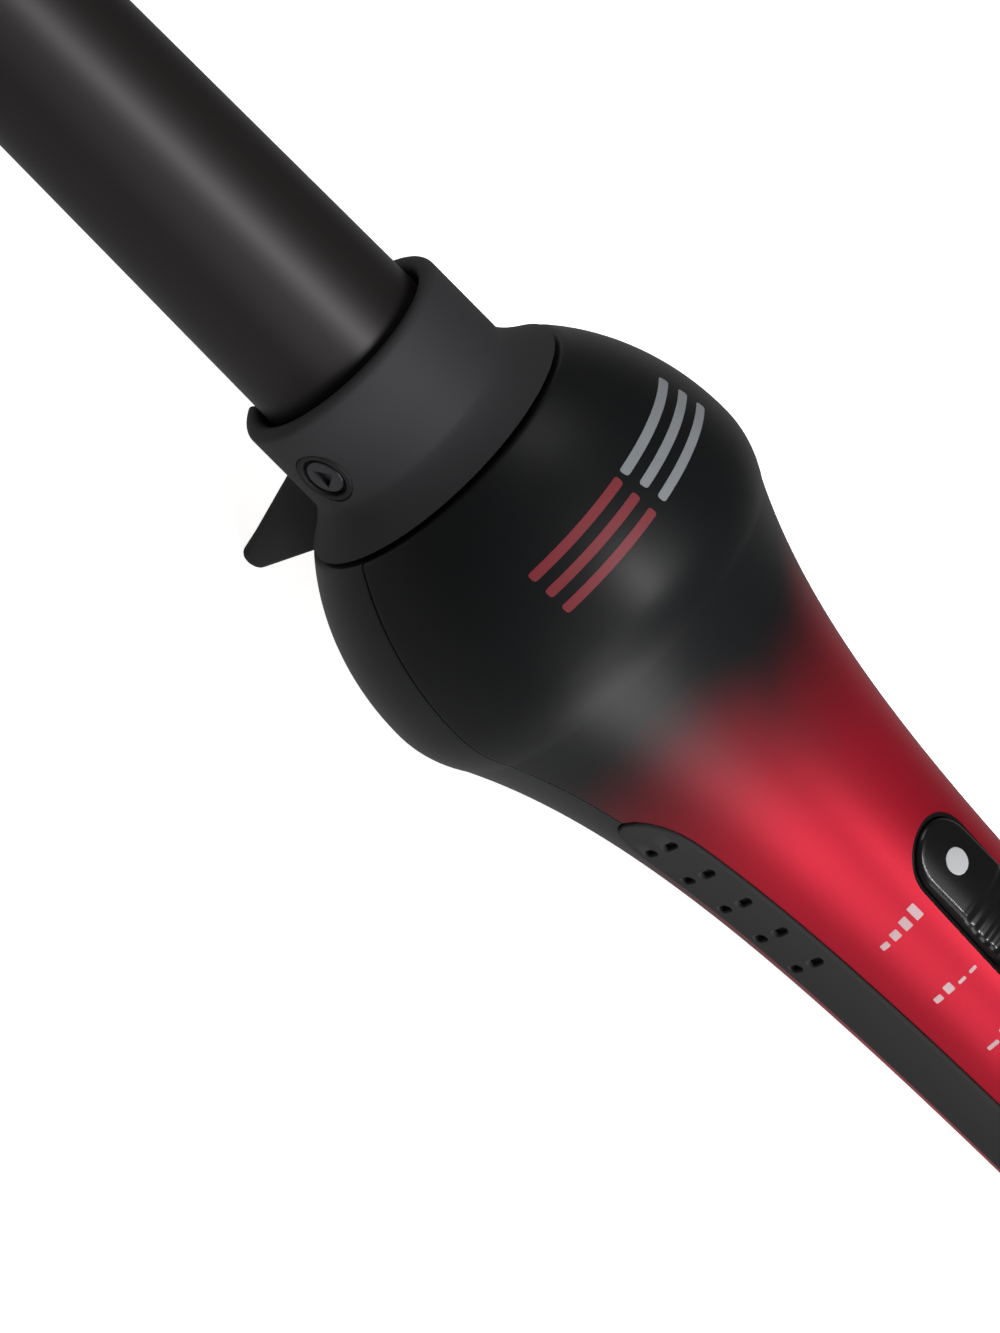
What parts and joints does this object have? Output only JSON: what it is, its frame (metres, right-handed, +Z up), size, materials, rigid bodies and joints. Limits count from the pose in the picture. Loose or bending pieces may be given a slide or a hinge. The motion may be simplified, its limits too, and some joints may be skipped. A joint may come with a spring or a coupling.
{
  "type": "curling iron",
  "caption": "Curling iron with a dark tapered barrel, sprung hair clamp on a thumb lever, bulb-nosed handle fading from black to red, grip strips, heat slider and swivel cord inlet.",
  "frame": {"origin": "on the table, under the middle of the iron's bounding box", "axes": "+Z up from the table; +X along the iron towards the cord inlet; the controls face up and the thumb lever rests on the table, so the barrel's axis is raised about 6.6 degrees towards its tip"},
  "size_m": [0.3719, 0.0588, 0.0661],
  "materials": {
    "barrel_coating": "dark ceramic coating, satin metallic, with a long soft highlight",
    "collar_plastic": "charcoal heat-resistant plastic, fine matte texture",
    "black_plastic": "black moulded plastic",
    "shell_paint": "soft-touch lacquer on plastic, airbrushed from black at the bulb to bright red at the grip",
    "grip_rubber": "dark grey non-slip rubber",
    "gloss_black": "gloss black plastic",
    "tray_plastic": "black plastic",
    "dot_grey": "light grey inlay",
    "dark_screw": "blackened steel",
    "screw_steel": "zinc-plated steel",
    "spring_steel": "spring steel",
    "bare_aluminium": "extruded aluminium",
    "ceramic": "white alumina",
    "phenolic": "brown phenolic moulding",
    "mica": "mica sheet",
    "amber_bead": "glass bead thermistor",
    "lead_sleeve": "woven glass sleeving",
    "board_green": "solder mask",
    "white_plastic": "nylon",
    "brass": "brass"
  },
  "bodies": {
    "handle": {"barrel_tube": "barrel_coating", "tip_cap": "black_plastic", "heater_plate": "ceramic", "heat_spreader_upper": "bare_aluminium", "heat_spreader_lower": "bare_aluminium", "spreader_spring": "spring_steel", "thermistor": "amber_bead", "thermal_fuse": "spring_steel", "heater_leads": "lead_sleeve", "barrel_holder": "phenolic", "barrel_screws": "screw_steel", "collar": "collar_plastic", "pivot_bushes": "black_plastic", "pivot_screws": "dark_screw", "clamp_spring": "spring_steel", "control_shell": "shell_paint", "lever_shell": "shell_paint", "grip_strip_left": "grip_rubber", "grip_strip_right": "grip_rubber", "shell_screws": "screw_steel", "heat_baffle": "mica", "terminal_block": "ceramic", "circuit_board": "board_green", "board_parts": "black_plastic", "board_screws": "screw_steel", "slide_switch": "black_plastic", "slider_tray": "tray_plastic", "mains_leads": "lead_sleeve", "tail_cap": "black_plastic", "brush_holder": "white_plastic", "contact_brushes": "brass"},
    "clamp": {"clamp_plate": "barrel_coating", "clamp_yoke": "spring_steel", "clamp_rivets": "spring_steel", "clamp_lever": "collar_plastic"},
    "slider": {"slider_knob": "gloss_black", "slider_dot": "dot_grey", "slider_carrier": "black_plastic", "switch_actuator": "white_plastic"},
    "swivel": {"cord_swivel": "black_plastic", "contact_rings": "brass"}
  },
  "joints": [
    {"name": "clamp_hinge", "type": "hinge", "parent": "handle", "child": "clamp", "pos_m": [-0.01168, 0, 0.03523], "axis": [0, -1, 0], "range_deg": [0, 12], "stiffness_Nm_per_rad": 0.35, "springref_deg": -25.78, "deforming": ["clamp_spring"]},
    {"name": "heat_slider", "type": "slide", "parent": "handle", "child": "slider", "axis": [0.9933, 0, -0.1155], "range_m": [0, 0.021]},
    {"name": "cord_turn", "type": "hinge", "parent": "handle", "child": "swivel", "pos_m": [0.17337, 0, 0.01372], "axis": [0.9933, 0, -0.1155], "continuous": true}
  ]
}
